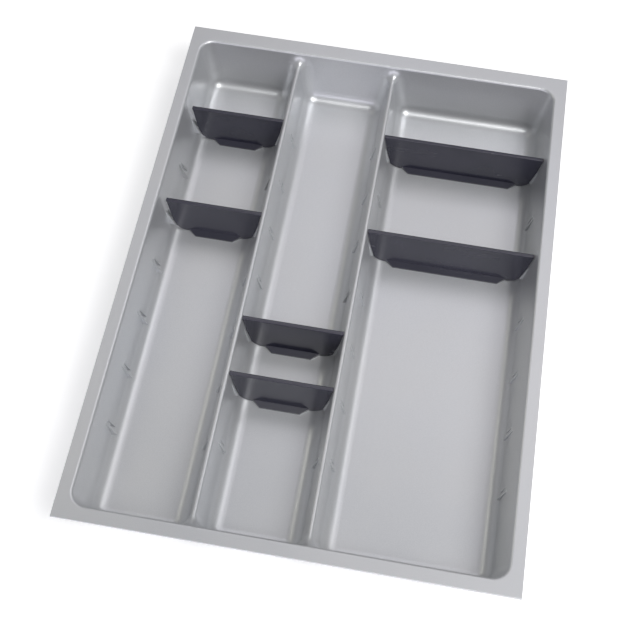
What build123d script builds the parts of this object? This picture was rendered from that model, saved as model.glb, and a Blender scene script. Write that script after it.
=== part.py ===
from build123d import *
import math
import os

# A cutlery tray for a kitchen drawer: one thin-walled tray with three long compartments,
# and six loose dividers that drop into leaning slots between pairs of ribs.
# The origin is at the bottom centre of the tray, with X to the right, Y to the back and Z up.

# Tray: overall size and wall
tray_width = 340.0
tray_length = 475.0
tray_height = 50.0
sheet = 2.0
wall_draft = 10.0

# Flange, from the tray's edge to where the flat rim would meet the sloping wall
side_flange = 10.8
front_flange = 11.6
back_flange = 14.5
rim_radius = 2.5
flange_edge_radius = 0.5

# Rounding inside the compartments
corner_radius = 12.5
floor_radius = 11.4
ridge_foot_radius = 12.6

# Ridges between the compartments, placed from the tray's left edge
left_ridge_place = 99.8
right_ridge_place = 185.9
ridge_drop = 9.5
ridge_top_width = 3.2
ridge_top_radius = 1.8
hollow_top_width = 1.6

# Slots: each is a pair of ribs on one wall of a compartment that faces a pair on the other
slot_count = 7
slot_pitch = 50.0
slot_row_y = 0.6
slot_lean = 4.5
rib_width = 1.5
rib_top_rise = 0.2
rib_root = 0.8
front_rib_foot_height = 7.5
front_rib_top_height = 24.0
front_rib_grip = 1.6
back_rib_foot_height = 12.0
back_rib_top_height = 21.0
back_rib_grip = 0.5

# Dividers
divider_height = 37.8
plate_thickness = 2.4
slot_play = 0.3
side_clearance = 0.4
floor_clearance = 0.3
corner_clearance = 0.3
lip_thickness = 3.5
lip_height = 2.6
lip_radius = 0.9
foot_inset = 11.5
foot_reach = 5.0
foot_height = 2.8
foot_front_height = 1.2
foot_end_cut = 6.5

# How far shapes run past what cuts them or what they cut, and how near two places count as one
overrun = 5.0
near = 0.1

# Places that follow from these sizes
slope = math.tan(math.radians(wall_draft))
rim_z = tray_height
floor_z = sheet
inside_depth = rim_z - floor_z
ridge_top_z = rim_z - ridge_drop
ridge_left_x = left_ridge_place - tray_width / 2
ridge_right_x = right_ridge_place - tray_width / 2
lean_sine = math.sin(math.radians(slot_lean))
lean_cosine = math.cos(math.radians(slot_lean))

# Where each compartment's walls would meet the floor if nothing were rounded
wall_foot_x = tray_width / 2 - side_flange - inside_depth * slope
ridge_half = ridge_top_width / 2 + (ridge_top_z - floor_z) * slope
compartments = {
    "left": (-wall_foot_x, ridge_left_x - ridge_half),
    "middle": (ridge_left_x + ridge_half, ridge_right_x - ridge_half),
    "right": (ridge_right_x + ridge_half, wall_foot_x),
}


def compartment_width(name):
    low, high = compartments[name]
    return high - low


# The left and middle compartments take the same narrow divider. Each divider stands next to a ridge.
narrow_width = min(compartment_width("left"), compartment_width("middle")) - 2 * side_clearance
wide_width = compartment_width("right") - 2 * side_clearance
left_divider_end = compartments["left"][1] - side_clearance
middle_divider_start = compartments["middle"][0] + side_clearance
right_divider_start = compartments["right"][0] + side_clearance
divider_feet = {
    "left": (left_divider_end - narrow_width, left_divider_end),
    "middle": (middle_divider_start, middle_divider_start + narrow_width),
    "right": (right_divider_start, right_divider_start + wide_width),
}


def basin(skin):
    """The space inside the tray, grown by skin: none gives the inner face, sheet the outer one."""
    spread = skin / math.cos(math.radians(wall_draft))
    bottom = floor_z - skin
    depth = rim_z - bottom
    top = rim_z + overrun
    outward = overrun * slope
    half_width = tray_width / 2 - side_flange + spread
    front = front_flange - tray_length / 2 - spread
    back = tray_length / 2 - back_flange + spread
    inward = (depth + overrun) * slope
    corner_x = half_width - depth * slope - corner_radius - skin
    if skin:
        top_half = hollow_top_width / 2
        top_z = ridge_top_z - max(sheet, (top_half + spread - ridge_top_width / 2) / slope)
    else:
        top_half = ridge_top_width / 2
        top_z = ridge_top_z
    foot_half = top_half + (top_z - bottom) * slope
    with BuildPart() as space:
        # Two tapered lengths cross, so that all four walls slope. They end above the rim,
        # which leaves room for the rounding over the ridges' ends, and are cut off there last.
        with BuildSketch(Plane.XZ):
            with BuildLine():
                Polyline(
                    (-half_width - outward, top),
                    (half_width + outward, top),
                    (half_width - inward, bottom - overrun),
                    (inward - half_width, bottom - overrun),
                    close=True,
                )
            make_face()
        extrude(amount=tray_length, both=True)
        with BuildSketch(Plane.YZ):
            with BuildLine():
                Polyline(
                    (front - outward, top),
                    (back + outward, top),
                    (back - inward, bottom - overrun),
                    (front + inward, bottom - overrun),
                    close=True,
                )
            make_face()
        extrude(amount=tray_width, both=True, mode=Mode.INTERSECT)
        uprights = space.edges().filter_by(lambda edge: edge.bounding_box().size.Z > depth)
        fillet(uprights, corner_radius + skin)
        # All below this profile is floor and ridges. Under the outer face the ridges are hollow.
        with BuildSketch(Plane.XZ) as below:
            with Locations((0, bottom - overrun)):
                Rectangle(tray_width, 2 * overrun)
            for ridge_x in (ridge_left_x, ridge_right_x):
                with BuildLine():
                    Polyline(
                        (ridge_x - foot_half, bottom),
                        (ridge_x - top_half, top_z),
                        (ridge_x + top_half, top_z),
                        (ridge_x + foot_half, bottom),
                        close=True,
                    )
                make_face()
            if not skin:
                fillet(below.vertices().group_by(Axis.Y)[-1], ridge_top_radius)
            # The sketch's local Y is the height, and its own outer corners lie beyond the walls
            on_floor = below.vertices().filter_by(lambda corner: abs(corner.Y - bottom) < near)
            ridge_feet = on_floor.filter_by(lambda corner: abs(corner.X) < half_width)
            fillet(ridge_feet, ridge_foot_radius + skin)
        extrude(amount=tray_length, both=True, mode=Mode.SUBTRACT)
        # One unbroken line runs round the floor and, at both ends, up and over each ridge.
        floor_line = []
        for edge in space.edges(Select.LAST):
            box = edge.bounding_box()
            outside = abs(edge.center().X) > corner_x
            along_ridge = box.size.Y > corner_radius and box.size.X < near and not outside
            up_corner = box.size.Z > corner_radius and outside
            on_hollow = skin and box.min.Z > top_z - near
            if not (along_ridge or up_corner or on_hollow or box.max.Z > top - near):
                floor_line.append(edge)
        fillet(floor_line, floor_radius + skin)
        split(bisect_by=Plane.XY.offset(rim_z), keep=Keep.BOTTOM)
    return space.part


def slot_plane(slot):
    """The middle plane of a slot, counted from the back: X across the tray, local Y up along the lean."""
    y = slot_row_y + ((slot_count - 1) / 2 - slot) * slot_pitch
    return Plane(origin=(0, y, floor_z), x_dir=(1, 0, 0), z_dir=(0, -lean_cosine, lean_sine))


def rib_corners(foot_x, divider_x, outward, foot_height, top_height, grip):
    """The side of a rib, which fades into the wall at its top and grips the divider's edge at its foot."""
    foot_wall = foot_x + outward * foot_height * slope
    top_wall = foot_x + outward * top_height * slope
    reach = abs(divider_x - foot_x) + grip
    return (
        (foot_wall + outward * rib_root, foot_height / lean_cosine),
        (foot_wall - outward * reach, foot_height / lean_cosine),
        (top_wall - outward * rib_top_rise, top_height / lean_cosine),
        (top_wall + outward * rib_root, top_height / lean_cosine),
    )


os.makedirs("parts", exist_ok=True)

# The tray: a flange and three compartments in one sheet, with seven slots in each compartment
with BuildPart() as tray:
    with BuildSketch(Plane.XY.offset(rim_z - sheet)):
        Rectangle(tray_width, tray_length)
    extrude(amount=sheet)
    fillet(tray.edges().filter_by(Axis.Z, reverse=True), flange_edge_radius)
    add(basin(sheet))
    add(basin(0), mode=Mode.SUBTRACT)
    fillet(tray.faces().sort_by(Axis.Z)[-1].inner_wires()[0].edges(), rim_radius)
    # Each slot has a tall rib in front of its middle plane and a low one behind it.
    # All of them are pushed out in one go.
    rib_offset = plate_thickness / 2 + slot_play + rib_width / 2
    rib_rows = (
        (rib_offset, front_rib_foot_height, front_rib_top_height, front_rib_grip),
        (-rib_offset, back_rib_foot_height, back_rib_top_height, back_rib_grip),
    )
    for slot in range(slot_count):
        for forward, *heights_and_grip in rib_rows:
            with BuildSketch(slot_plane(slot).offset(forward)):
                for name, feet in compartments.items():
                    for foot_x, divider_x, outward in zip(feet, divider_feet[name], (-1, 1)):
                        with BuildLine():
                            Polyline(*rib_corners(foot_x, divider_x, outward, *heights_and_grip), close=True)
                        make_face()
    extrude(amount=rib_width / 2, both=True)
tray.part.label = "tray"
export_step(tray.part, "parts/tray.step")

# Dividers: the name of each, its compartment and its slot counted from the back
divider_places = (
    ("divider_left_rear", "left", 0),
    ("divider_left_front", "left", 2),
    ("divider_middle_rear", "middle", 4),
    ("divider_middle_front", "middle", 5),
    ("divider_right_rear", "right", 0),
    ("divider_right_front", "right", 2),
)
plate_half = plate_thickness / 2
lip_half = lip_thickness / 2
lip_step = lip_half - plate_half
lip_start = divider_height - lip_height
bottom_corner_radius = max(floor_radius, ridge_foot_radius) + corner_clearance

for divider_name, compartment, slot in divider_places:
    low, high = divider_feet[compartment]
    middle_x = (low + high) / 2
    place = slot_plane(slot)
    # Where the plate's front face meets the top of the foot, and how far forward the foot reaches
    slot_y = place.origin.Y
    crease_y = slot_y + foot_height * lean_sine / lean_cosine - plate_half / lean_cosine
    front_y = slot_y - plate_half / lean_cosine - foot_reach
    # Local X runs across the plate's thickness to the front, local Y up along the lean
    side_plane = Plane(origin=place.origin + place.x_dir * middle_x, x_dir=place.z_dir, z_dir=-place.x_dir)
    with BuildPart() as divider:
        with BuildSketch(side_plane):
            with BuildLine():
                Polyline(
                    (-plate_half, 0),
                    (plate_half, 0),
                    (plate_half, lip_start - lip_step),
                    (lip_half, lip_start),
                    (lip_half, divider_height),
                    (-lip_half, divider_height),
                    (-lip_half, lip_start),
                    (-plate_half, lip_start - lip_step),
                    close=True,
                )
            make_face()
        extrude(amount=high - low, both=True)
        lip_edges = divider.edges().filter_by(Axis.X).sort_by(Axis.Z)[-2:]
        fillet(lip_edges, lip_radius)
        with BuildSketch(place) as outline:
            with BuildLine():
                Polyline(
                    (low, floor_clearance),
                    (high, floor_clearance),
                    (high + (divider_height + overrun) * slope, divider_height + overrun),
                    (low - (divider_height + overrun) * slope, divider_height + overrun),
                    close=True,
                )
            make_face()
            fillet(outline.vertices().group_by(Axis.Y)[0], bottom_corner_radius)
        extrude(amount=lip_thickness, both=True, mode=Mode.INTERSECT)
        # The foot starts inside the plate, reaches forward over the floor and slopes down to its front
        with BuildSketch(Plane.XY.offset(floor_z)):
            with BuildLine():
                Polyline(
                    (low + foot_inset, slot_y),
                    (low + foot_inset, crease_y),
                    (low + foot_inset + foot_end_cut, front_y),
                    (high - foot_inset - foot_end_cut, front_y),
                    (high - foot_inset, crease_y),
                    (high - foot_inset, slot_y),
                    close=True,
                )
            make_face()
        extrude(amount=foot_height)
        with BuildSketch(Plane.YZ):
            with BuildLine():
                Polyline(
                    (crease_y, floor_z + foot_height),
                    (front_y, floor_z + foot_front_height),
                    (front_y, floor_z + foot_height),
                    close=True,
                )
            make_face()
        extrude(amount=tray_width, both=True, mode=Mode.SUBTRACT)
    divider.part.label = divider_name
    export_step(divider.part, f"parts/{divider_name}.step")
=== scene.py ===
# %% [markdown]
# # A cutlery tray for a kitchen drawer
# One thin moulding in satin silver-grey plastic holds three long compartments, and six
# loose anthracite dividers stand in leaning slots. Their shapes come finished from the
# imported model, so this lesson is about how a moulded surface looks: the fleck of a
# silver pigment, the fine skin that the mould leaves, and the soft light that runs along
# the rounded edges of the floors.

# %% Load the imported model
import bpy
import math
from mathutils import Matrix, Vector

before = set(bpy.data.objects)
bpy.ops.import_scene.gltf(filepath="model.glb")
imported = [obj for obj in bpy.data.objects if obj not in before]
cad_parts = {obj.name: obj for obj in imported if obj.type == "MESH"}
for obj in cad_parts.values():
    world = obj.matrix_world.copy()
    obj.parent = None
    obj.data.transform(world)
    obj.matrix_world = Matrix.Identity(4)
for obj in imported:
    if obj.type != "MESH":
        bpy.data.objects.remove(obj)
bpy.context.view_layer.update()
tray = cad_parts["tray"]
dividers = [node for name, node in sorted(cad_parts.items()) if name.startswith("divider")]

# %% [markdown]
# ## Writing a finish as sums
# A finish is a small network of nodes. Wired by hand it is hard to read, so one class
# wraps a socket and lets plain arithmetic build the Math nodes: `0.4 + 0.1 * fleck`
# reads the same way as it works. Colours and vectors have their own nodes, because a
# Math node would turn a colour grey.

# %% A socket that can be added and multiplied
class Signal:
    """A node's output. Arithmetic on it adds Math nodes to the same finish."""

    def __init__(self, finish, socket):
        self.finish = finish
        self.socket = socket

    def _math(self, operation, *values):
        return self.finish.node("ShaderNodeMath", {"operation": operation}, dict(enumerate(values)))

    def __add__(self, other):
        return self._math("ADD", self, other)

    def __mul__(self, other):
        return self._math("MULTIPLY", self, other)

    __radd__ = __add__
    __rmul__ = __mul__

    def _rise(self, settings, low, high):
        limits = {"Value": self, "From Min": low, "From Max": high}
        return self.finish.node("ShaderNodeMapRange", settings, limits)

    def over(self, low, high):
        """0 up to low, 1 from high on, and a straight rise between them."""
        return self._rise({"interpolation_type": "LINEAR", "clamp": True}, low, high)

    def smooth_over(self, low, high):
        """The same rise with a soft start and end."""
        return self._rise({"interpolation_type": "SMOOTHSTEP"}, low, high)


# %% A finish, which is one material
class Finish:
    """A material with one shader. Every node but the shader comes from the method node."""

    def __init__(self, name):
        self.material = bpy.data.materials.new(name)
        self.material.use_nodes = True
        self.tree = self.material.node_tree
        self.shader = next(n for n in self.tree.nodes if n.type == "BSDF_PRINCIPLED")
        self.place = self.node("ShaderNodeTexCoord", output="Object")

    def node(self, kind, settings=None, inputs=None, output=0):
        made = self.tree.nodes.new(kind)
        for key, value in (settings or {}).items():
            setattr(made, key, value)
        for key, value in (inputs or {}).items():
            self.feed(made.inputs[key], value)
        return Signal(self, made.outputs[output])

    def feed(self, target, value):
        if isinstance(value, Signal):
            self.tree.links.new(value.socket, target)
        else:
            target.default_value = value

    def set(self, **sockets):
        for name, value in sockets.items():
            self.feed(self.shader.inputs[name.replace("_", " ")], value)

    def noise(self, scale, detail=2.0, roughness=0.5, stretch=None):
        """Noise in the piece's own metres: scale is how many grains go into one metre."""
        place = self.place
        if stretch:
            values = {"Vector": place, "Scale": stretch}
            place = self.node("ShaderNodeMapping", {"vector_type": "POINT"}, values)
        values = {"Vector": place, "Scale": scale, "Detail": detail, "Roughness": roughness}
        return self.node("ShaderNodeTexNoise", {"noise_dimensions": "3D"}, values)

    def blend(self, amount, first, second):
        """A colour between first and second.

        The Mix node has several inputs called A and B, so its colours are picked by place.
        """
        color_a, color_b, color_result = 6, 7, 2
        settings = {"data_type": "RGBA", "blend_type": "MIX"}
        inputs = {"Factor": amount, color_a: first, color_b: second}
        return self.node("ShaderNodeMix", settings, inputs, output=color_result)


def dress(node, finish):
    """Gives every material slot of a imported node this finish."""
    for slot in node.material_slots:
        slot.material = finish.material
    print(node.name, "wears", finish.material.name, "on", len(node.material_slots), "slot")


# %% [markdown]
# ## The tray's silver-grey plastic
# The tray looks like plastic with fine aluminium flakes mixed in, neither solid metal nor
# painted. It mirrors the room softly, like brushed metal without a direction, and its
# walls pick up the light of the floor beside them. A high metallic value with a broad
# roughness does the same. The fine skin of the mould is a faint bump with grains under a
# millimetre wide, and slow clouds in the colour and the roughness keep large faces alive.

# %% Silver-grey plastic
silver = Finish("satin silver plastic")
clouds = silver.noise(9.0, detail=3.0)
flakes = silver.noise(2600.0, detail=2.0, roughness=0.7)
skin = silver.noise(1500.0, detail=3.0, roughness=0.6)
cool_grey = (0.585, 0.6, 0.62, 1.0)
light_grey = (0.615, 0.622, 0.63, 1.0)
flake_grey = (0.72, 0.725, 0.74, 1.0)
tint = silver.blend(clouds.smooth_over(0.3, 0.7), cool_grey, light_grey)
shade = silver.blend(flakes.over(0.35, 0.75), tint, flake_grey)
silver.set(
    Base_Color=shade,
    Metallic=0.62,
    Roughness=0.33 + 0.05 * clouds.smooth_over(0.25, 0.75) + 0.04 * flakes,
    Normal=silver.node("ShaderNodeBump", {}, {"Height": skin, "Strength": 0.12, "Distance": 0.0001}),
)
dress(tray, silver)

# %% [markdown]
# ## The dividers' anthracite plastic
# The dividers are dark solid plastic with a faint violet cast and more gloss than the
# tray. Most of what shows on such a dark face is reflection, so its colour stays low and
# a thin smoother coat mirrors the floor in front of it, with the bright lines along
# the floor's edges. Faint scuffs make it a little rougher here and there.

# %% Anthracite plastic
anthracite = Finish("anthracite plastic")
grain = anthracite.noise(1800.0, detail=3.0, roughness=0.65)
scuffs = anthracite.noise(60.0, detail=4.0, roughness=0.6, stretch=(0.25, 1.0, 1.0))
mottle = anthracite.noise(22.0, detail=2.0)
deep_violet = (0.024, 0.024, 0.040, 1.0)
grey_violet = (0.032, 0.031, 0.050, 1.0)
anthracite.set(
    Base_Color=anthracite.blend(mottle.smooth_over(0.3, 0.7), deep_violet, grey_violet),
    Roughness=0.24 + 0.05 * scuffs.smooth_over(0.45, 0.75),
    Coat_Weight=0.6,
    Coat_Roughness=0.18,
    Normal=anthracite.node("ShaderNodeBump", {}, {"Height": grain, "Strength": 0.15, "Distance": 0.0001}),
)
for divider in dividers:
    dress(divider, anthracite)

# %% [markdown]
# ## Floor, light and camera
# A satin surface shows the lights as much as its own colour. The main soft box stands
# high at the front right, so the walls that face it stay light and those in its lee go
# dark. A wide weak one at the back is what the flat floors mirror, and two small ones, at
# the left and at the right, draw the bright lines along the rounded edges. The room adds a
# little light from everywhere, and the pale floor glows a little so that it stays white.

# %% Pale floor
floor_size = 12.0
floor_gap = 0.0002
bpy.ops.mesh.primitive_plane_add(size=floor_size, location=(0.0, 0.0, -floor_gap))
ground = bpy.context.object
ground.name = "studio_floor"
paper = Finish("pale floor")
paper.set(Base_Color=(0.93, 0.93, 0.93, 1.0), Roughness=0.9)
paper.set(Emission_Color=(1.0, 1.0, 1.0, 1.0), Emission_Strength=0.36)
ground.data.materials.append(paper.material)
print("floor", floor_size, "m wide,", floor_gap * 1000.0, "mm under the tray")

# %% Soft light
light_distance = 3.0


def soft_box(name, bearing, height, width, depth, radiance, color=(1.0, 1.0, 1.0)):
    """A rectangular light that looks at the tray from light_distance.

    Bearing and height are in degrees. Bearing 0 is the back and 90 the right.
    """
    level = math.cos(math.radians(height))
    toward = Vector((
        math.sin(math.radians(bearing)) * level,
        math.cos(math.radians(bearing)) * level,
        math.sin(math.radians(height)),
    ))
    light = bpy.data.lights.new(name, "AREA")
    light.shape = "RECTANGLE"
    light.size = width
    light.size_y = depth
    light.energy = radiance * math.pi * width * depth
    light.color = color
    lamp = bpy.data.objects.new(name, light)
    bpy.context.scene.collection.objects.link(lamp)
    lamp.location = toward * light_distance
    lamp.rotation_euler = (-toward).to_track_quat("-Z", "Y").to_euler()
    print(name, round(light.energy, 1), "watts from", [round(v, 2) for v in lamp.location])


soft_box("front_right", 122.0, 56.0, 1.4, 1.4, 6.9)
soft_box("front_high", 180.0, 68.0, 1.0, 0.8, 2.7)
soft_box("front_low", 188.0, 18.0, 4.0, 0.8, 2.2, (0.9, 0.88, 1.0))
soft_box("back_wide", 14.0, 58.0, 2.4, 1.6, 0.8, (0.97, 0.94, 1.0))
soft_box("left", 302.0, 50.0, 0.7, 0.8, 2.0, (1.0, 0.98, 0.85))
soft_box("right_strip", 52.0, 49.0, 0.5, 0.8, 2.8)

room = bpy.data.worlds.new("room")
room.use_nodes = True
sky = room.node_tree.nodes["Background"]
sky.inputs["Color"].default_value = (0.97, 0.98, 1.0, 1.0)
sky.inputs["Strength"].default_value = 0.25
bpy.context.scene.world = room
bpy.context.scene.view_settings.view_transform = "Standard"

# %% [markdown]
# The camera was solved from the four corners of the flange in the photograph, which are
# taken to be a rectangle. Three directions say how it is turned: the picture's right, the
# picture's down, and the way it looks.

# %% The camera of the photograph
lens = bpy.data.cameras.new("camera")
lens.sensor_width = 36.0
lens.lens = 68.108
camera = bpy.data.objects.new("camera", lens)
right = Vector((0.9849061, 0.17211319, 0.0183582))
down = Vector((0.15895088, -0.85736924, -0.48954326))
ahead = Vector((-0.0685171, 0.48507219, -0.87178574))
place = Vector((0.05026, -0.4902, 0.86306))
turn = Matrix((right, -down, -ahead)).transposed()
camera.matrix_world = Matrix.Translation(place) @ turn.to_4x4()
bpy.context.scene.collection.objects.link(camera)
bpy.context.scene.camera = camera
print("camera", round(lens.lens, 1), "mm, from", [round(v, 3) for v in place])
